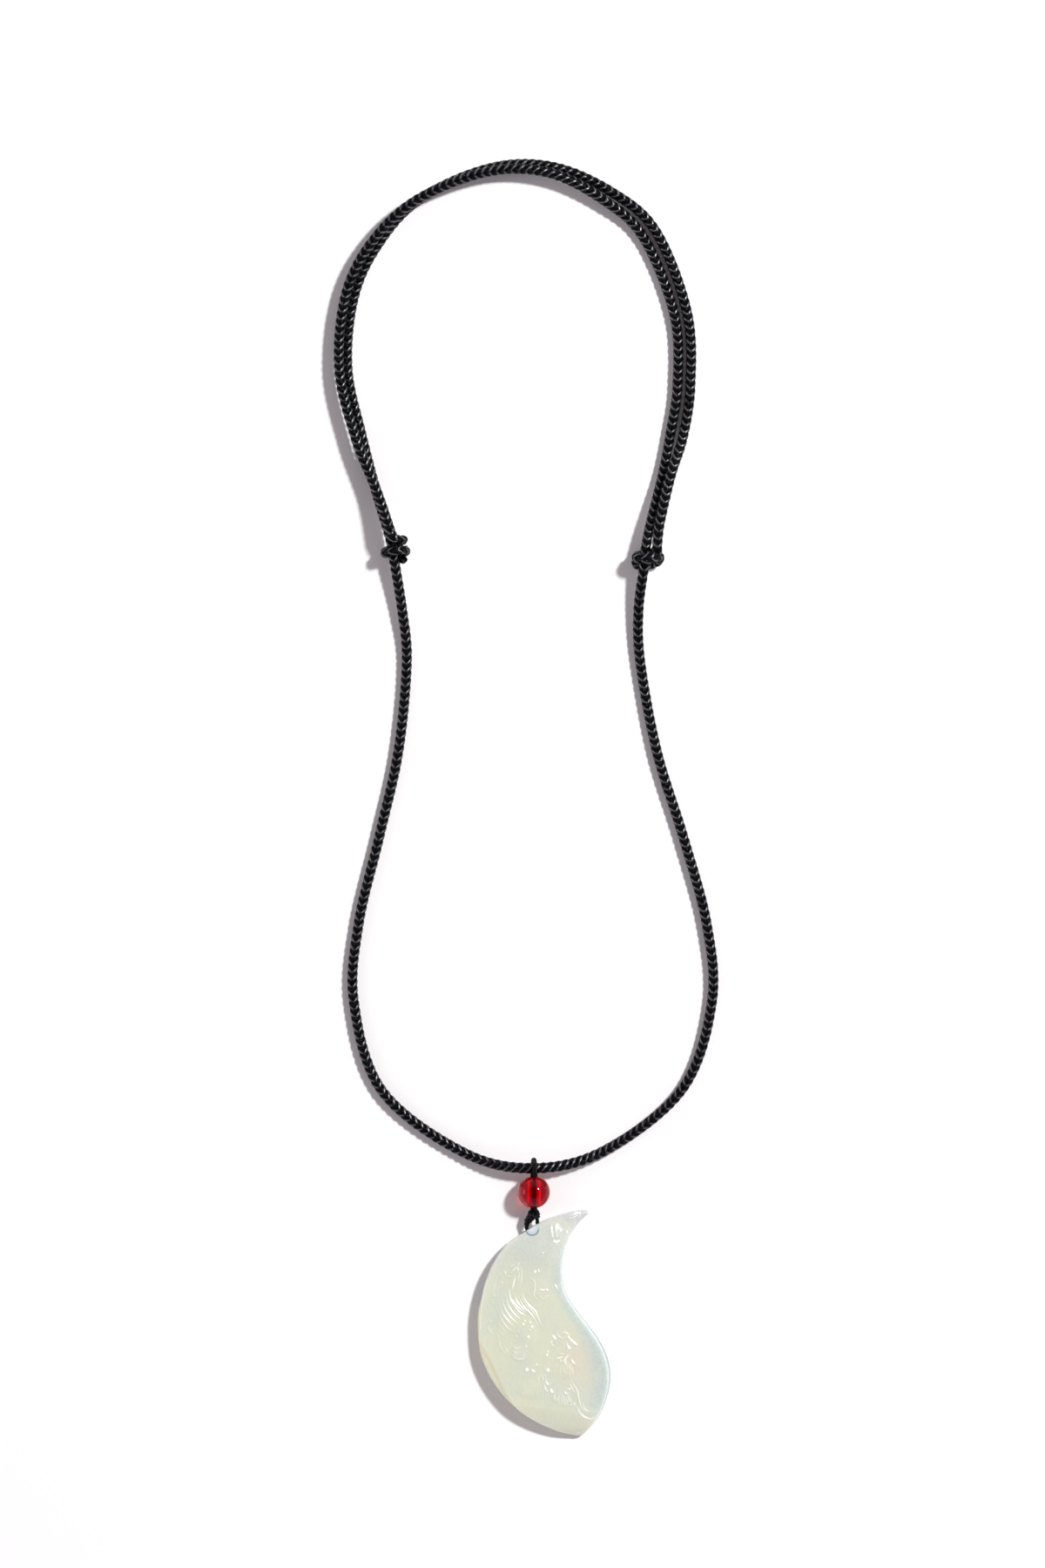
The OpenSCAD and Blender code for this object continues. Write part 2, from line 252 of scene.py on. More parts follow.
def evenly(rows, step, fineness=60):
    """Points a small step apart on the smooth curve through a few points"""
    fine = curve(rows, np.linspace(0, len(rows) - 1, fineness * len(rows)))
    run = np.concatenate([[0], np.cumsum(np.linalg.norm(np.diff(fine[:, :3], axis=0), axis=1))])
    at = np.linspace(0, run[-1], int(run[-1] / step) + 2)
    return np.stack([np.interp(at, run, column) for column in fine.T], 1)


def strand(side):
    """One strand of the doubled run, on its side of the middle line"""
    ways = np.diff(double_run[:, :2], axis=0)
    ways = unit(np.vstack([ways[:1], ways[:-1] + ways[1:], ways[-1:]]))
    outward = np.stack([-ways[:, 1], ways[:, 0]], 1)
    flat = double_run[:, :2] + side * double_run[:, 2:3] * outward
    return np.column_stack([flat, double_run[:, 3 if side > 0 else 4]])


outer_strand = strand(1)
inner_strand = strand(-1)

# Each knot from its melted tip back to the strand that it is wound from, with the cord's radius
left_knot_path = np.array([
    [-31.7, 150.6, 3.8, 1], [-32.8, 150.5, 2.2, 1.1], [-33.4, 151.1, 1.4, 1.1],
    [-32.6, 151.9, 1.5, 1.1], [-31.7, 152.5, 3, 1.1], [-31.8, 152.9, 4.9, 1.15],
    [-32.9, 152.8, 6.3, 1.2], [-34.5, 152.5, 6.8, 1.25], [-36, 152.1, 6.1, 1.35],
    [-36.6, 152.2, 4.4, 1.4], [-36.5, 152.5, 2.7, 1.35], [-35.3, 153.2, 1.5, 1.2],
    [-33.6, 154.4, 1.5, 1.1], [-32.4, 155.2, 2.7, 1.1], [-32.3, 155.5, 4.9, 1.1],
    [-33.3, 155.4, 6.4, 1.2], [-34.5, 155.6, 7, 1.35]])
right_knot_path = np.array([
    [25, 150.3, 3, 1.3], [25.2, 149.9, 2.5, 1.4], [25.9, 149.3, 1.9, 1.4],
    [27.3, 149.1, 1.5, 1.3], [29.3, 149.6, 1.5, 1.3], [30.8, 150.4, 2.8, 1.4],
    [31, 151.1, 4.4, 1.4], [30.5, 151.4, 6, 1.4], [29.1, 150.9, 7, 1.4], [27.4, 150.5, 7.2, 1.4],
    [26.1, 150.7, 6.4, 1.4], [25.5, 151.1, 4.5, 1.4], [25.8, 151.5, 2.7, 1.3],
    [26.9, 151.8, 1.5, 1.25], [28.6, 151.8, 1.5, 1.25], [29.9, 152.1, 2.8, 1.3],
    [30.3, 153.2, 5, 1.4]])
ring_step = 0.35
left_end = evenly(np.vstack([left_knot_path, np.append(outer_strand[0], cord_r)]), ring_step)
cord_line = evenly(np.vstack([outer_strand, single_run, inner_strand]), ring_step)
right_end = evenly(np.vstack([np.append(inner_strand[-1], cord_r), right_knot_path[::-1]]),
                   ring_step)
whole = cord_low + np.vstack([left_end[:, :3], cord_line[1:-1], right_end[:, :3]])
thickness = np.concatenate([left_end[:, 3], np.full(len(cord_line) - 2, cord_r),
                            right_end[:, 3]])
left_stop = len(left_end) - 1
right_start = len(whole) - len(right_end)
run = np.concatenate([[0], np.cumsum(np.linalg.norm(np.diff(whole, axis=0), axis=1))])
tip_length = 1.6
tip_share = 0.4
to_tip = np.clip(np.minimum(run, run[-1] - run) / tip_length, 0, 1)
thickness *= tip_share + (1 - tip_share) * np.sqrt(1 - (1 - to_tip) ** 2)


def frames(path):
    """The way along a path and two ways across it, which turn as little as they can"""
    along = unit(np.gradient(path, axis=0))
    across = np.empty_like(path)
    nearly_up = [0.3, 0.2, 1]
    side = np.cross(along[0], nearly_up)
    for i, way in enumerate(along):
        side = unit(side - side.dot(way) * way)
        across[i] = side
    return along, across, np.cross(along, across)


def closed_tube(rings):
    """Points and faces of a tube through rings of points, with flat ends"""
    spots = np.arange(rings.shape[0] * rings.shape[1]).reshape(rings.shape[:2])
    a, b = spots[:-1], spots[1:]
    walls = np.stack([a, np.roll(a, -1, 1), np.roll(b, -1, 1), b], -1).reshape(-1, 4)
    return rings.reshape(-1, 3), [*walls.tolist(), spots[0, ::-1].tolist(), spots[-1].tolist()]


def rings_round(line, outward, half_wide, half_thick, angles):
    """Rings of points round a line, as wide and thick at each of its points as they are told"""
    along = unit(np.gradient(line, axis=0))
    out = unit(outward - (outward * along).sum(1)[:, None] * along)
    side = np.cross(along, out)
    return (line[:, None] + (half_thick[:, None] * np.cos(angles))[..., None] * out[:, None]
            + (half_wide[:, None] * np.sin(angles))[..., None] * side[:, None])


def joined(tubes):
    """Many tubes as one mesh, with marks at each point: the ring that it is in, the tube's number
    and share of the way round it, and how far the tube rides over the others there"""
    points, faces, marks = [], [], []
    base = 0
    for n, (spots, sides, over) in enumerate(tubes):
        points.append(spots)
        faces += [[base + spot for spot in face] for face in sides]
        base += len(spots)
        around = len(spots) // len(over)
        marks.append(np.column_stack([np.repeat(np.arange(len(over)), around),
                                      np.tile(n + np.arange(around) / around, len(over)),
                                      np.repeat(over, around)]))
    return np.vstack(points), faces, np.vstack(marks)


# The braid: length of cord in which a strand goes round once, the strands wound each way, and
# shares of the cord's radius at which a strand runs, sways over and under, and is wide and thick.
# A strand has no points on the side that faces the core.
lay = 7.4
each_way = 4
strand_reach, strand_sway, strand_wide, strand_thick = 0.62, 0.09, 0.4, 0.29
core_share = 0.6
strand_angles = np.radians([-98, -50, 0, 50, 98])
core_angles = np.radians(np.arange(0, 360, 60))

# A row of the braid's V marks faces up. The cord turns by a quarter between its right side and its
# left side, so that the marks point down on both.
turning_width = 40
_, across, lift = frames(whole)
lowest = len(whole) // 2
to_left = np.clip(0.5 - whole[:, :1] / turning_width, 0, 1)
turned = math.atan2(across[lowest, 2], lift[lowest, 2]) + math.pi / 2 * to_left
across, lift = (np.cos(turned) * across - np.sin(turned) * lift,
                np.cos(turned) * lift + np.sin(turned) * across)
strands = []
for turn in (1, -1):
    for n in range(each_way):
        angle = turn * math.tau * run / lay + n * math.tau / each_way
        over = turn * np.cos(math.pi / 2 * (2 * n + turn * 2 * each_way * run / lay - 1))
        out = np.cos(angle)[:, None] * across + np.sin(angle)[:, None] * lift
        line = whole + ((strand_reach + strand_sway * over) * thickness)[:, None] * out
        rings = rings_round(line, out, strand_wide * thickness, strand_thick * thickness,
                            strand_angles)
        strands.append((rings, over))
core = rings_round(whole, across, core_share * thickness, core_share * thickness, core_angles)


def braid(name, first, last, core_step, material):
    """A stretch of the braided cord between two points of the whole line. Its round core keeps
    one ring in each core_step."""
    tubes = [(*closed_tube(rings[first:last + 1]), over[first:last + 1])
             for rings, over in strands]
    some_core = core[first:last + 1:core_step]
    tubes.append((*closed_tube(some_core), np.zeros(len(some_core))))
    points, faces, marks = joined(tubes)
    return new_piece(name, points * MM, faces, material, marks)


# Dull black strands, each with a shiny crest of fine yarns where it rides over the others
black_nylon, nylon_shader, start = new_material("black_nylon")
marks = start.make("Attribute", {"attribute_name": "marks"}, {}, "Vector")
ring, around, over = marks.parts()
fibre_place = start.make("CombineXYZ", {}, {0: ring * 0.09, 1: around * 26})
fibres = start.make("TexNoise", {}, {"Vector": fibre_place, "Scale": 1, "Detail": 3,
                                     "Roughness": 0.6})
tone = start.make("TexNoise", {}, {"Vector": millimetres(start), "Scale": 0.35, "Detail": 2})
light_fibre = fibres.between(0.55, 0.75) * 0.5 + tone.between(0.45, 0.7) * 0.35
strand_crest = 1 - abs(around.sum("FRACT", around) - 0.4).between(0.04, 0.13)
yarns = around.sum("SINE", around * 42)
shine = strand_crest * over.between(0.1, 0.6) * tone.between(0.2, 0.45) * (0.6 + 0.4 * yarns)
start.fill(nylon_shader, {
    "Base Color": light_fibre.tint((0.002, 0.002, 0.003), (0.006, 0.007, 0.01)),
    "Roughness": 0.2,
    "Specular IOR Level": 0.06,
    "Specular Tint": (0.85, 0.92, 1),
    "Coat Weight": shine,
    "Coat Roughness": 0.42,
    "Coat IOR": 2.6,
    "Normal": start.make("Bump", {}, {"Strength": 1, "Distance": 0.04 * MM,
                                      "Height": yarns + fibres})})

neck_cord = braid("neck_cord_braid", left_stop, right_start, 6, black_nylon)
left_knot = braid("left_knot_winding", 0, left_stop, 1, black_nylon)
right_knot = braid("right_knot_winding", right_start, len(whole) - 1, 1, black_nylon)
for cord_piece, node in ((neck_cord, "neck_cord"), (left_knot, "left_knot"),
                         (right_knot, "right_knot")):
    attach(cord_piece, "root")
    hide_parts(node)
path_step = 4
cord_path = evenly(np.vstack([outer_strand, single_run, inner_strand]), path_step)
cord_path = (cord_low + cord_path) * MM
cord_length = float(np.linalg.norm(np.diff(cord_path, axis=0), axis=1).sum())

# The thread: thin black waxed thread of three plies. It comes up from a small knot as two strands,
# runs through the bead, turns over the neck cord and comes back. Below the knot its two legs pass
# through the tunnel in the jade.
thread_r = 0.55
bead_r = (bead_high[0] - bead_low[0]) / 2
bead = (bead_low + bead_high) / 2
ply_angles = np.radians(np.arange(0, 360, 45))


def laid_thread(path, size, plies=3, ply_lay=2.6):
    """Tubes of the plies that are twisted together along a path, with the thread's radius at even
    shares of its length"""
    run = np.concatenate([[0], np.cumsum(np.linalg.norm(np.diff(path, axis=0), axis=1))])
    size = np.interp(run / run[-1], np.linspace(0, 1, len(size)), size)
    _, across, lift = frames(path)
    ply_r = size / (1 + 1 / math.sin(math.pi / plies))
    tubes = []
    for n in range(plies):
        angle = math.tau * (run / ply_lay + n / plies)
        out = np.cos(angle)[:, None] * across + np.sin(angle)[:, None] * lift
        line = path + (size - ply_r)[:, None] * out
        tubes.append((*closed_tube(rings_round(line, out, ply_r, ply_r, ply_angles)), run * 0))
    return tubes


tunnel = np.array([-3.036, 23.52, 2.4])
tunnel_bend_r = 1.3
thread_knot_l = 2.2
knot_tilt = math.radians(22)
knot_way = np.array([0, math.cos(knot_tilt), math.sin(knot_tilt)])
knot_foot = np.array([bead[0], 25.72, 2.75])
knot_head = knot_foot + thread_knot_l * knot_way
bead_bottom, bead_top = bead_low[1], bead_high[1]


def beside(y, z, angle, apart):
    """Places of two strands that touch, at an angle in degrees from side by side"""
    shift = apart * np.array([math.cos(math.radians(angle)), 0, math.sin(math.radians(angle))])
    middle = np.array([bead[0], y, z])
    return middle - shift, middle + shift


# The two strands from the knot up through the bead: place up the chest, height over the table,
# angle from side by side, and half the distance between them
pair_rows = [
    (knot_head[1] - 0.6, knot_head[2] - 0.1, 10, 0.5),
    (knot_head[1] + 0.1, knot_head[2] + 0.1, 25, 0.5),
    (bead_bottom - 0.1, 3.95, 50, 0.52), (bead_bottom + 2, 4, 80, 0.56), (bead[1], 4, 90, 0.57),
    (bead_top - 1, 4, 80, 0.58), (bead_top + 0.1, 4, 55, 0.62)]
lower, upper = (np.array(side) for side in zip(*[beside(*row) for row in pair_rows]))
over_cord_gap = 0.06
over_cord_lean = 0.12
loop_r = cord_r + thread_r + over_cord_gap
loop_middle = np.array([bead[0], cord_low[1], 4])
loop_angles = np.radians(np.arange(-120, 121, 24))
over_cord = loop_middle + loop_r * np.column_stack([
    over_cord_lean * np.sin(loop_angles), np.cos(loop_angles), np.sin(loop_angles)])
thread_step = 0.16
loop_line = evenly(np.vstack([lower, over_cord, upper[::-1]]), thread_step)

# Black waxed fibres that run along each ply
nylon_thread, thread_shader, start = new_material("black_thread")
marks = start.make("Attribute", {"attribute_name": "marks"}, {}, "Vector")
ring, around, _ = marks.parts()
fibre_place = start.make("CombineXYZ", {}, {0: ring * 0.12, 1: around * 18})
fibres = start.make("TexNoise", {}, {"Vector": fibre_place, "Scale": 1, "Detail": 3,
                                     "Roughness": 0.6})
start.fill(thread_shader, {
    "Base Color": fibres.between(0.5, 0.8).tint((0.002, 0.002, 0.003), (0.006, 0.006, 0.009)),
    "Roughness": 0.2 + 0.2 * fibres,
    "Specular IOR Level": 0.14,
    "Normal": start.make("Bump", {}, {"Strength": 0.6, "Distance": 0.05 * MM, "Height": fibres})})
loop_sizes = thread_r * np.array([1, 1, 1.2, 1, 1])
points, faces, marks = joined(laid_thread(loop_line, loop_sizes))
thread_loop = new_piece("thread_over_cord", points * MM, faces, nylon_thread, marks)

# The knot's one line, from its middle: places to the side, along the thread and up
knot_middle = knot_foot + thread_knot_l / 2 * knot_way
knot_side = np.array([1, 0, 0])
knot_up = np.cross(knot_side, knot_way)
knot_rows = np.array([
    [-0.2, 0.7, -0.7], [0.75, 0.85, -0.35], [1.05, 0.45, 0.35], [0.35, 0.1, 0.95],
    [-0.65, -0.1, 0.75], [-1, -0.35, 0], [-0.5, -0.6, -0.8], [0.55, -0.5, -0.8], [1.1, -0.25, 0],
    [0.7, -0.05, 0.8], [-0.1, 0.3, 1.05], [-0.85, 0.65, 0.6], [-0.9, 0.75, -0.3],
    [-0.2, 0.6, -0.9]])
knot_line = knot_middle + knot_rows @ np.array([knot_side, knot_way, knot_up])
knot_step = 0.14
knot_sizes = np.full(3, 0.52)
points, faces, marks = joined(laid_thread(evenly(knot_line, knot_step), knot_sizes))
thread_knot = new_piece("thread_overhand_knot", points * MM, faces, nylon_thread, marks)

# The bight: down the left leg, round the bow inside the jade and up the right leg
bow_angles = np.radians(np.arange(180, -1, -20))
bow = tunnel + tunnel_bend_r * np.column_stack([
    np.cos(bow_angles), -np.sin(bow_angles), 0 * bow_angles])
left_leg = np.array([[bead[0] - 0.4, knot_head[1] - 0.2, 3.5],
                     [bead[0] - 0.75, knot_foot[1] + 0.6, 3.1],
                     [tunnel[0] - tunnel_bend_r + 0.15, tunnel[1] + 1.7, 2.6],
                     [tunnel[0] - tunnel_bend_r, tunnel[1] + 0.6, 2.4]])
right_leg = np.array([[tunnel[0] + tunnel_bend_r, tunnel[1] + 0.6, 2.4],
                      [tunnel[0] + tunnel_bend_r, tunnel[1] + 1.6, 2.5],
                      [bead[0] + 0.7, knot_foot[1] + 0.5, 2.95],
                      [bead[0] + 0.35, knot_head[1] - 0.3, 3.3]])
bight_line = evenly(np.vstack([left_leg, bow, right_leg]), thread_step)
bight_sizes = np.array([1, 1.1, 1.05, 0.8, 0.56, 0.5, 0.5, 0.5, 0.5, 0.5, 0.52, 0.58, 0.58])
points, faces, marks = joined(laid_thread(bight_line, bight_sizes))
thread_bight = new_piece("thread_through_jade", points * MM, faces, nylon_thread, marks)
for thread_piece, node in ((thread_loop, "thread_loop"), (thread_knot, "thread_knot"),
                           (thread_bight, "thread_bight")):
    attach(thread_piece, "root")
    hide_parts(node)

# The bead: a round of clear deep red glass, drilled through for the thread and polished, with its
# two rims rounded off where the drill came out.
bead_bore_r = 1.2
rim_r = 0.18
bead_turns = 96
bead_rows = 72
rim_rows = 7
bore_rows = 16


def bead_outline():
    """Distance from the bore's axis and place along it, from the lower rim over the outside and
    back through the bore"""
    rim_out = bead_bore_r + rim_r
    rim_at = math.sqrt((bead_r - rim_r) ** 2 - rim_out ** 2)
    slope = math.atan2(rim_at, rim_out)
    outside = np.linspace(-slope, slope, bead_rows)
    top_rim = np.linspace(slope, math.pi, rim_rows)[1:]
    low_rim = top_rim[::-1]
    rows = [*zip(bead_r * np.cos(outside), bead_r * np.sin(outside))]
    rows += [*zip(rim_out + rim_r * np.cos(top_rim), rim_at + rim_r * np.sin(top_rim))]
    rows += [(bead_bore_r, y) for y in np.linspace(rim_at, -rim_at, bore_rows)[1:]]
    rows += [*zip(rim_out + rim_r * np.cos(low_rim), -rim_at - rim_r * np.sin(low_rim))][1:]
    return np.array(rows)


outline = bead_outline()
spin = np.radians(np.arange(0, 360, 360 / bead_turns))
rings = bead + np.stack([outline[:, :1] * np.cos(spin), np.repeat(outline[:, 1:], bead_turns, 1),
                         outline[:, :1] * -np.sin(spin)], -1)
spots = np.arange(rings.shape[0] * bead_turns).reshape(-1, bead_turns)
next_spots = np.roll(spots, -1, 0)
faces = np.stack([spots, np.roll(spots, -1, 1), np.roll(next_spots, -1, 1), next_spots], -1)
red_glass, glass_shader, start = new_material("red_glass")
start.fill(glass_shader, {
    "Base Color": (0.58, 0.0008, 0.005),
    "Roughness": 0.015,
    "IOR": 1.5,
    "Specular Tint": (1, 0.25, 0.42),
    "Transmission Weight": 1,
    # A faint painted red glow, standing in for light that comes through the glass
    "Emission Color": (1, 0.002, 0.012),
    "Emission Strength": 0.04})
red_bead = new_piece("red_glass_bead", rings.reshape(-1, 3) * MM,
                     faces.reshape(-1, 4).tolist(), red_glass)
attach(red_bead, "root")
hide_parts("red_bead")

# The pendant: one thick comma of milky jade, sawn flat at the back, its rim rounded and its face
# polished round a phoenix carved in low relief, with a bent tunnel drilled in its top edge.
jade_low, jade_high = [np.array(corner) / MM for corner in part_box("jade_pendant")]
pendant_w, pendant_h = (jade_high - jade_low)[:2]
pendant_t = 5
scale = np.array([pendant_w, pendant_h]) / 100

# From the tip of the horn to the lowest corner: left and right edge, in hundredths of the width
# and height, and the crown in hundredths of the thickness
stations = np.array([
    [31.8, 50, 33.5, 48.4, 24], [23, 49.6, 28, 45.6, 48], [10, 47.7, 22, 41, 68],
    [-2.5, 45, 17.8, 36.5, 82], [-14, 41.2, 15, 30.8, 93], [-26.5, 35.8, 13.7, 24.6, 100],
    [-35.5, 29.6, 14.4, 18.4, 100], [-42, 22.7, 17.6, 12.2, 100], [-46.6, 15, 24.6, 5.8, 100],
    [-49.5, 6.2, 33.5, -0.8, 100], [-50, -3, 41.5, -7.4, 100], [-48.5, -12.3, 47.4, -14.6, 100],
    [-43.5, -20.8, 50, -22.7, 100], [-35.8, -28.5, 48.3, -30.8, 100],
    [-24.8, -35.8, 43, -39.2, 100], [-11, -42, 37.6, -44.2, 88], [8, -47.4, 33, -47.2, 66],
    [25, -49.9, 29.6, -49.2, 36]])

# Round edge of each station: share of its half width and of its crown
rim = np.array([[0.95, 0], [0.985, 0.1], [1, 0.3], [0.998, 0.5], [0.992, 0.69], [0.98, 0.84],
                [0.963, 0.95], [0.94, 1]])

# Carved lines, each with its share of a full line's width and the places that it runs through, in
# hundredths of the pendant's width and height
wing_feathers = [
    (0.7, [(-22.5, 13.3), (-20.7, 10), (-16.5, 7), (-13.3, 5.6)]),
    (0.6, [(-24.5, 10.8), (-21, 8), (-17.5, 6.2), (-14.8, 5.2)]),
    (1.1, [(-26.7, 14.8), (-25.3, 11), (-22.2, 8), (-18.7, 5.2), (-15.5, 4)]),
    (0.8, [(-28.7, 12.5), (-27.5, 9), (-24, 5.4), (-20.5, 3.3), (-17.8, 2)]),
    (0.8, [(-31.3, 10.3), (-30, 7.5), (-26, 3.5), (-22, 1.2), (-19.6, 0.2)]),
    (0.8, [(-33, 7.3), (-31.5, 4.7), (-28, 2), (-25, 0), (-21.8, -1.3)]),
    (0.8, [(-34.5, 5.5), (-32.5, 2.5), (-29, -0.7), (-26, -2.3), (-23.3, -3.5)]),
    (0.6, [(-34.8, 1.3), (-33, -0.7), (-30, -2.7), (-27.5, -4)]),
    (0.5, [(-35.5, -1.8), (-33.5, -3.2), (-30.5, -5), (-27.5, -6.5)]),
    (0.5, [(-41.8, 2.5), (-40.5, 1), (-39.5, 0.2)]),
    (0.6, [(-42.3, -1.3), (-41, -2.8), (-38.8, -4.3)])]

# Fine quills, each halfway between two neighbouring feathers
quill_share = 0.3
quills = [(quill_share, [((a + c) / 2, (b + d) / 2)
                         for (a, b), (c, d) in zip(feather[-4:], next_feather[-4:])])
          for (_, feather), (_, next_feather) in zip(wing_feathers[2:8], wing_feathers[3:9])]
wing_band = [
    (0.8, [(-16.8, 13.7), (-15, 11), (-12, 8.3), (-7, 5.6), (-5, 3.3), (-3.3, 0.8),
           (-2.5, -0.8)]),
    (0.5, [(-18, 12.6), (-16, 10.3), (-13.2, 8), (-9.6, 6), (-6.6, 3.6), (-4.4, 1)]),
    (0.6, [(-19.4, 11.8), (-17.5, 9.5), (-14.9, 7.3), (-11.8, 5.4), (-8.8, 3.4), (-6.4, 1.2),
           (-5, -0.9)])]
crest = [
    (0.9, [(-21.8, 20.9), (-23, 18), (-24.1, 15.3)]),
    (0.8, [(-21, 25.3), (-22.5, 24.2), (-24, 23.5)]), (0.6, [(-19.9, 25), (-20.4, 23.6)]),
    (0.5, [(-19.2, 27.2), (-19.6, 25.8)]), (0.6, [(-30.1, 23.5), (-28.5, 21.6)]),
    (0.5, [(-22.2, 26.5), (-25.6, 25)]), (0.5, [(-19.1, 21.9), (-19.4, 19.4)]),
    (0.4, [(-17.4, 24.5), (-17, 21), (-18, 18.2)])]
claws = [
    (0.7, [(-23.3, -9.9), (-21.5, -10.8), (-18.4, -10.6)]),
    (0.7, [(-23.5, -12.1), (-21.5, -13), (-19.5, -12.7)]),
    (0.8, [(-24, -13.7), (-22, -15), (-19, -15.5), (-15.8, -15.3), (-14.2, -14)]),
    (0.6, [(-16.4, -14.3), (-14.9, -13.1)]), (0.6, [(-29.4, -10.9), (-27.6, -12.4)]),
    (0.4, [(-34, -6), (-33.5, -9.5), (-30.5, -12.3), (-27, -14)]),
    (0.3, [(-37.9, -0.7), (-35.2, -4.7), (-32.5, -9.5)]),
    (0.35, [(-35.9, 20.9), (-38.2, 15.4), (-38.6, 9.7)]),
    (0.3, [(-33.2, 19.3), (-34.6, 16), (-35.2, 13.2)])]
body = [
    (0.7, [(5.8, -5.1), (7.3, -6), (8.6, -7)]), (0.7, [(18.9, -6.4), (21.5, -8), (24.5, -9.6)]),
    (0.5, [(4.7, -8), (5.7, -9.2), (7, -9.9)]), (0.5, [(13.5, -3.9), (15.8, -3.9), (18.3, -4.8)]),
    (0.6, [(16.2, -8), (17.3, -9.6), (19.2, -11)]),
    (0.4, [(9.4, -3.6), (10.6, -5.4), (12.9, -6.4)]),
    (1.2, [(9.2, -15.4), (11.5, -15), (13.8, -14.5)]),
    (0.5, [(11, -13.6), (13.5, -13.3), (15, -13.8)]),
    (1.5, [(17.4, -14.1), (15.5, -15.3), (14, -16.8)]), (1, [(15.8, -15.7), (15.9, -18.1)]),
    (1, [(12.2, -15.7), (12.7, -16.9)]), (0.8, [(19.9, -15.8), (21.5, -17), (23, -18.2)]),
    (0.5, [(12.6, -18.4), (11.7, -20.5), (12.8, -22.7), (15.5, -24)]),
    (0.4, [(20.6, -19.4), (21.6, -21.5), (20.6, -23.6)]),
    (0.8, [(-10.2, -20), (-8.7, -20.7), (-7.2, -21.4)]),
    (0.7, [(-5.7, -24.2), (-4.4, -23.9), (-3.4, -23.3)]), (0.6, [(-5.4, -25), (-3.6, -24.9)]),
    (0.7, [(-2.7, -23), (-0.9, -22.9)]), (0.6, [(-1.3, -23.7), (-1.2, -24.9)]),
    (0.6, [(0.8, -22.2), (0.7, -23.5)]),
    (0.9, [(0.6, -24.8), (2, -26.4), (3.2, -26.8), (4.8, -26.1)]),
    (0.9, [(0.1, -26.8), (0.6, -28.5), (2.4, -30)]),
    (0.7, [(4.3, -29), (5.5, -29.9), (7.2, -30.3)]),
    (0.8, [(15, -30), (16.4, -30.9), (18.4, -30.2)])]
tail = [
    (0.5, [(7.4, -31.2), (7.6, -34.2)]), (0.4, [(9, -32.6), (9.3, -35.1)]),
    (0.5, [(10.8, -31.6), (10.8, -34.2)]), (0.45, [(12.7, -31.9), (12.9, -35.1)]),
    (0.55, [(14.3, -32), (15, -34.5), (16.1, -36.7)]),
    (0.5, [(16.1, -32.3), (16.8, -34.5), (17.6, -36.2)]), (0.5, [(17.5, -32), (18.5, -34.4)]),
    (0.45, [(19, -32.8), (19.9, -35)]),
    (0.8, [(19.7, -24.9), (22.5, -27.5), (25, -30.3), (26, -33.5), (28, -37), (31.2, -39.8)]),
    (0.6, [(18.2, -25.8), (20.5, -28.2), (22.7, -30.6)]),
    (1, [(23.9, -36.8), (27, -39.6), (31, -41.5), (35, -42), (39, -40.9)]),
    (0.6, [(28.4, -35.2), (30.5, -37.8), (34.3, -39.1)])]

# A faint fan of long feathers left of the tail
faint_share = 0.15
tail += [(faint_share, [(x, -25), (0.9 * x + 0.5, -29), (0.8 * x + 0.5, -33)])
         for x in range(-20, 2, 2)]
clouds = [
    (1.2, [(6.3, 36.7), (8.5, 35.9), (10.6, 36.5)]), (0.6, [(4.8, 43.8), (5.6, 40), (6.8, 37.4)]),
    (0.5, [(8.4, 43.4), (8.8, 40.4), (9.6, 37.7)]), (0.7, [(17.8, 46), (22, 47.1), (25.7, 48)]),
    (0.6, [(27.8, 48.3), (29.5, 48.8), (31.3, 49.1)]), (0.6, [(-4.8, 24.1), (-3.6, 22.5)]),
    (1.2, [(-3.8, 15.5), (-1.8, 15), (0.1, 15.2)]), (0.8, [(1.3, 15.2), (2.8, 14.7)]),
    (0.7, [(8, 17.2), (9, 16.3), (10.1, 15.2)]),
    (0.5, [(-10, 20.2), (-7.5, 18.6), (-6.9, 16), (-7.9, 13.5), (-7, 11.6), (-5.4, 10.9)]),
    (0.4, [(-4, 12), (-1, 11.2), (3, 12.6), (5, 15)])]

# Drilled beads of the carving: place, and size as a share of a full one's
beading = [
    (-18.2, 10.7, 0.6), (-15.8, 9.3, 0.6), (-14, 7.9, 0.5), (-12.1, 6.7, 0.6), (-10.1, 5.6, 0.6),
    (-8.5, 4, 0.6), (-7, 2.8, 0.5), (-14.8, 1.3, 0.8), (-16, -0.1, 0.9), (-10.8, 0.6, 0.8),
    (-9.5, -1.4, 1), (-11, -2.6, 0.8), (-19.4, -3.5, 0.8), (-21.2, -5.5, 0.9), (-22, -7.8, 0.8),
    (-12.2, -5.8, 1.2), (-13.8, -9.8, 1), (2.5, -12.2, 0.9), (1.8, -13.7, 1.1), (5, -7.9, 0.9),
    (18, -5.9, 1), (18.3, -10.6, 1.3), (-6, -18, 1), (-7.9, -18.6, 0.7), (-13.3, -20.3, 1.4),
    (2.4, -20.5, 1.4), (16.6, -28.7, 0.7), (18.6, -28.8, 1), (11.3, -35.2, 0.8), (22.5, -35.3, 1),
    (20, -35.8, 0.9), (29.6, -43.9, 0.6), (28, -43.2, 0.5), (11.8, 41.2, 1.1), (16.5, 40.2, 0.9),
    (-1.3, 31.4, 0.9), (-7.3, 23, 1.2), (-24.5, 22.8, 0.8), (-26.6, 21, 0.8), (-36.7, 15.7, 0.8),
    (-36.9, 12.4, 0.9), (-38.8, 9.3, 0.8), (-39.2, 5.2, 0.6), (-31.7, 18.2, 0.9)]

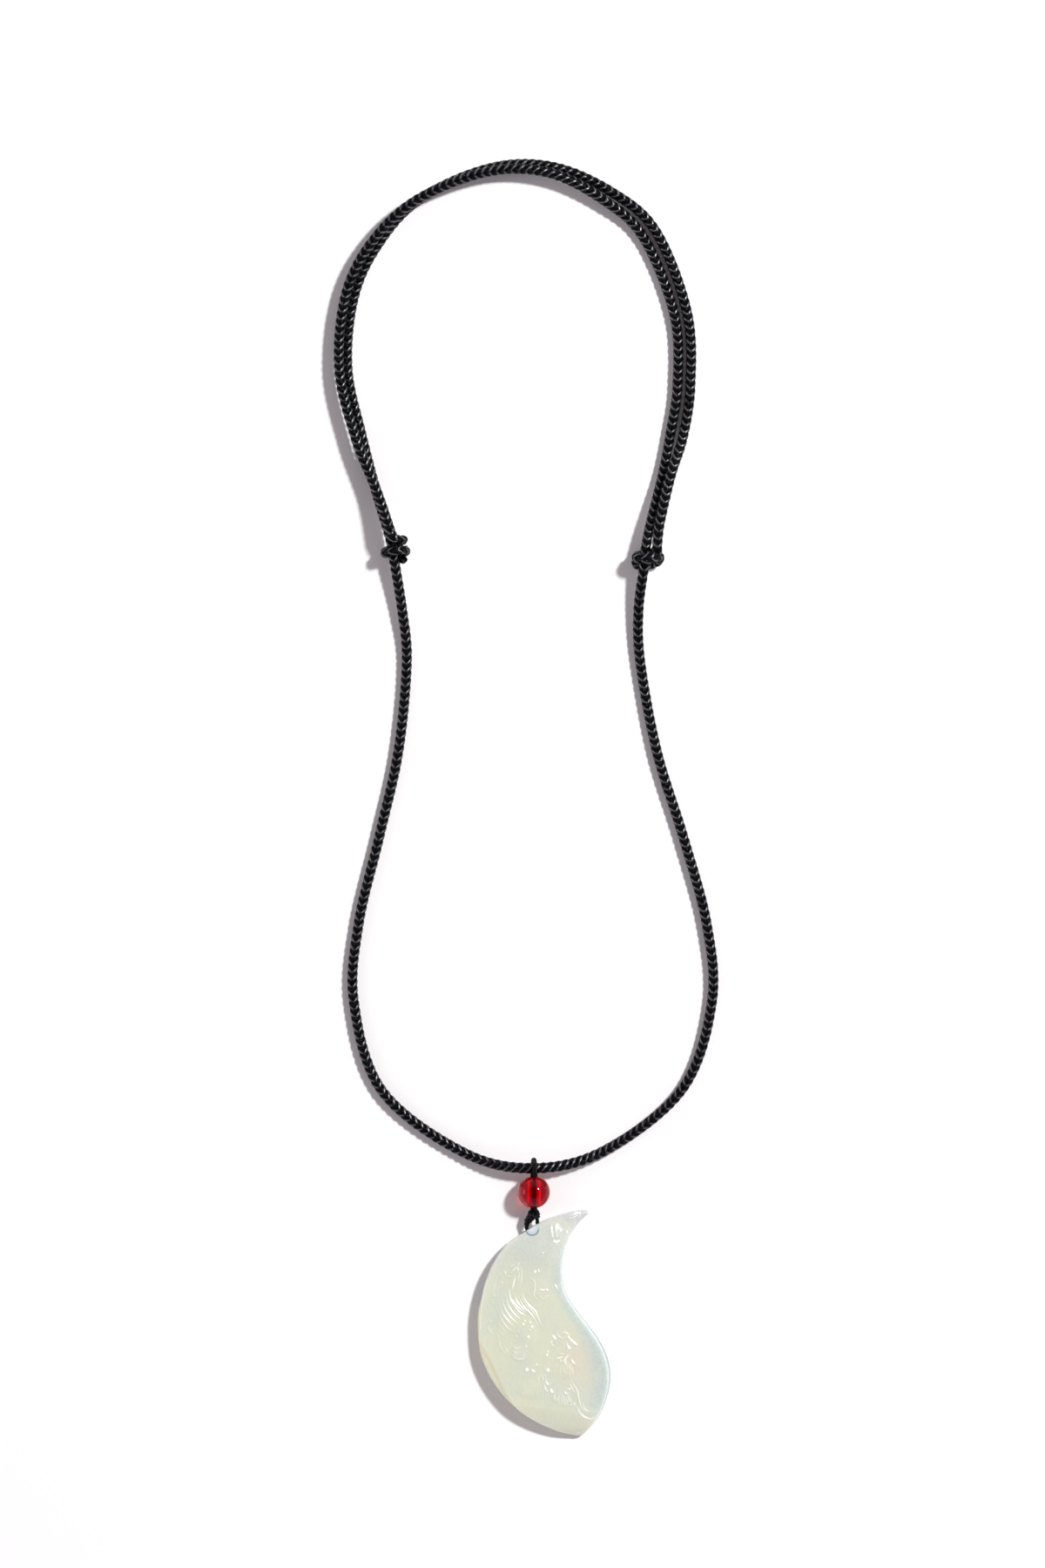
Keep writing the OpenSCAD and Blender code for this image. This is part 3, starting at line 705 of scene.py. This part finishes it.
# Low raised grounds under the carving: middle, half width and half height in hundredths, and
# height in millimetres
grounds = [
    (-24.5, 4.5, 13, 11.5, 0.16), (-13, -4, 10, 8.5, 0.16), (-18.5, -13, 8, 4.5, 0.12),
    (16.4, -20.5, 6, 4.2, 0.2), (-10, -29, 13, 5, 0.12), (-21.5, 21, 6, 7, 0.1),
    (7.3, 40.5, 5.5, 5.5, 0.12), (-3, 16, 8, 6, 0.08), (13, -33.5, 9, 4, 0.1)]

# A full line's half width and height, a full drilled bead's half width, the points on a line
# between two of its places, the share of it that each blunt tip takes, and how far from a line its
# height is worked out
line_half = 0.2
line_high = 0.2
bead_half = 0.27
line_steps = 6
line_taper = 0.06
line_margin = 1


def ridge(spots, places, share):
    """Height over the face, at many places, of one carved line that tapers to both ends"""
    places = np.array(places) * scale
    line = curve(places, np.linspace(0, len(places) - 1, line_steps * (len(places) - 1) + 1))
    near = np.full(len(spots), np.inf)
    where = np.zeros(len(spots))
    for n, way in enumerate(np.diff(line, axis=0)):
        share_on = np.clip((spots - line[n]) @ way / way.dot(way), 0, 1)
        gap = np.linalg.norm(spots - line[n] - share_on[:, None] * way, axis=1)
        closer = gap < near
        near = np.where(closer, gap, near)
        where = np.where(closer, (n + share_on) / (len(line) - 1), where)
    inner = np.clip(where, line_taper, 1 - line_taper)
    fullness = np.sqrt(np.clip(np.sin(np.pi * inner), 0, 1))
    return line_high * share ** 0.5 * fullness * np.exp(-(near / (line_half * share ** 0.4)) ** 2)


def relief(spots):
    """Height of all the carving over the plain face, and of its lines and beads alone"""
    height = np.zeros(len(spots))
    for x, y, wide, high, lift in grounds:
        away = np.linalg.norm((spots / scale - [x, y]) / [wide, high], axis=1)
        slope = np.clip(1.5 - 1.5 * away, 0, 1)
        height += lift * slope ** 2 * (3 - 2 * slope)
    raised = np.zeros(len(spots))
    for share, places in wing_feathers + quills + wing_band + crest + claws + body + tail + clouds:
        low = np.array(places).min(0) * scale - line_margin
        high = np.array(places).max(0) * scale + line_margin
        close = ((spots > low) & (spots < high)).all(1)
        raised[close] = np.maximum(raised[close], ridge(spots[close], places, share))
    for x, y, share in beading:
        away = np.linalg.norm((spots - np.array([x, y]) * scale) / (bead_half * share), axis=1)
        raised = np.maximum(raised, line_high * share * np.exp(-away ** 2))
    return height + raised, raised


# The stone's rings, from the horn to the low corner: each goes up round the right edge, over the
# face, down round the left edge and back along the flat underside
row_steps = 22
edge_steps = 3
face_steps = 208
back_steps = 8
doming = 0.06
carving_from = 0.9
carving_fade = 0.1
rows = curve(stations, np.linspace(0, len(stations) - 1, row_steps * (len(stations) - 1) + 1))
left, right = rows[:, 0:2] * scale, rows[:, 2:4] * scale
crown = np.minimum(rows[:, 4] / 100, 1) * pendant_t
edge = curve(rim, np.linspace(0, len(rim) - 1, edge_steps * (len(rim) - 1) + 1))
face_columns = np.linspace(1, -1, face_steps)[1:-1] * rim[-1, 0]
back_columns = np.linspace(-1, 1, back_steps)[1:-1] * rim[0, 0]
across_share = np.concatenate([edge[:, 0], face_columns, -edge[::-1, 0], back_columns])
high_share = np.concatenate([edge[:, 1], face_columns * 0 + 1, edge[::-1, 1], back_columns * 0])
middle, half = (left + right) / 2, (right - left) / 2
flat = middle[:, None] + across_share[:, None] * half[:, None]
height = crown[:, None] * high_share * (1 - doming * across_share ** 2)
on_face = np.clip((high_share - carving_from) / carving_fade, 0, 1)
carved = np.flatnonzero(on_face > 0)
carving, raised = [part.reshape(len(rows), -1)
                   for part in relief(flat[:, carved].reshape(-1, 2))]
height[:, carved] += carving * on_face[carved]
height = np.minimum(height, jade_high[2])
# How far each point of a carved line is raised, which the material turns into frosting and painted
# highlight
frost_and_highlight = np.zeros(height.shape)
frost_and_highlight[:, carved] = raised / line_high
rings = np.concatenate([flat, height[..., None]], -1)
points, faces = closed_tube(rings)

# The jade is milky, with soft clouds and fine flecks in it. Its marks are how far a line is
# raised, which sets its frosting and painted highlight, and the place across the stone and up its
# rim.
jade, jade_shader, start = new_material("milky_jade")
place = millimetres(start)
x, y, _ = place.parts()
marks = start.make("Attribute", {"attribute_name": "marks"}, {}, "Vector")
frost_and_highlight_share, across, share_up = marks.parts()
cloud = start.make("TexNoise", {}, {"Vector": place, "Scale": 0.07, "Detail": 4, "Roughness": 0.55,
                                    "Distortion": 0.8})
fine = start.make("TexNoise", {}, {"Vector": place, "Scale": 1.6, "Detail": 4, "Roughness": 0.7})
silk = start.make("TexNoise", {}, {"Vector": place, "Scale": 0.35, "Detail": 5, "Roughness": 0.7})
colour = cloud.between(0.38, 0.62).tint((0.65, 0.675, 0.525), (0.61, 0.655, 0.55))

# Warmer stone right of the middle, cooler stone along the sides and towards the greyish horn
warm_right = 1 - (((x - 8) ** 2 / 45 + (y + 9) ** 2 / 130) ** 0.5).between(0, 1.1)
colour = (warm_right * 0.6).tint(colour, (0.68, 0.625, 0.51))
cool_edge = across.between(0.55, 0.95) * (y + 26).between(0, 8)
colour = (cool_edge * 0.8).tint(colour, (0.43, 0.52, 0.54))
cool_neck = (y - 9).between(0, 12)
colour = (cool_neck * 0.7).tint(colour, (0.52, 0.56, 0.53))
horn = (0.6 * x + 0.8 * y - 22).between(-1, 5)
colour = (horn * 0.85).tint(colour, (0.35, 0.36, 0.385))
colour = (silk.between(0.5, 0.8) * 0.3).tint(colour, (0.72, 0.74, 0.66))
colour = (fine.between(0.35, 0.65) * 0.3).tint(colour, (0.73, 0.745, 0.66))

# The rim: a painted yellow glow, standing in for lamp light that comes through the stone, on the
# rounded rim at its lower left, and painted shade on the rest of the rounded rim. One brown vein
# runs through the lower half.
low_left = (-0.75 * x - 0.55 * y - 8).between(0, 4)
shoulder = 0.15 + 0.85 * share_up.between(0.3, 0.75)
painted_glow = low_left * (1 - share_up.between(0.6, 1)) * shoulder
rim_shade = (1 - share_up.between(0.75, 1)) * (1 - low_left) * shoulder
from_vein = abs(0.88 * x + 0.47 * y + 15.6 + 2 * cloud)
vein = (1 - from_vein.between(0.1, 0.7)) * (1 - y.between(-8, 3))
colour = (vein * 0.45).tint(colour, (0.56, 0.5, 0.3))
colour = (rim_shade * 0.9).tint(colour, (0.12, 0.15, 0.17))
colour = (painted_glow * 0.9).tint(colour, (0.96, 0.88, 0.46))

# The carved lines are whitened: partly frosting, as they are left unpolished, and partly painted
# highlight along them
colour = (frost_and_highlight_share.between(0.2, 0.9) * 0.6).tint(colour, (0.88, 0.88, 0.86))

# The tunnel and the thread in it show through the stone above them
from_bow = ((x - tunnel[0]) ** 2 + (y - tunnel[1]).lesser(0) ** 2) ** 0.5 - tunnel_bend_r
by_tunnel = (y - tunnel[1] + 2.6).between(0, 0.4)
in_tunnel = (1 - abs(from_bow).between(0.35, 0.75)) * by_tunnel
within_bow = (1 - from_bow.between(-0.2, 0.3)) * (y - tunnel[1] + 1.8).between(0, 0.3)
bow_shade = (1 - abs(from_bow - 0.3).between(0.06, 0.26)) * by_tunnel
under_bow = bow_shade * (1 - (y - tunnel[1]).between(-0.8, 0.6))
colour = (within_bow * 0.5).tint(colour, (0.68, 0.74, 0.76))
colour = (in_tunnel * 0.5).tint(colour, (0.42, 0.54, 0.62))
colour = (under_bow * 0.7).tint(colour, (0.09, 0.12, 0.15))

# A few tiny dark specks, and the polish
speck = start.make("TexVoronoi", {}, {"Vector": place, "Scale": 0.16, "Randomness": 1})
colour = ((1 - speck.between(0.015, 0.03)) * 0.6).tint(colour, (0.16, 0.14, 0.1))
start.fill(jade_shader, {
    "Base Color": colour,
    "Roughness": 0.16 + 0.12 * fine,
    "Subsurface Weight": 0.85,
    "Subsurface Radius": (1, 0.97, 0.82),
    "Subsurface Scale": 4 * MM,
    "Coat Weight": 0.9,
    "Coat Roughness": 0.03,
    "Normal": start.make("Bump", {}, {"Strength": 0.2, "Distance": 0.05 * MM, "Height": fine})})
stone_marks = np.column_stack([frost_and_highlight.ravel(), np.tile(across_share, len(rows)),
                               np.tile(high_share, len(rows))])
pendant = new_piece("jade_phoenix_pendant", points * MM, faces, jade, stone_marks)
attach(pendant, "root")
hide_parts("jade_pendant")
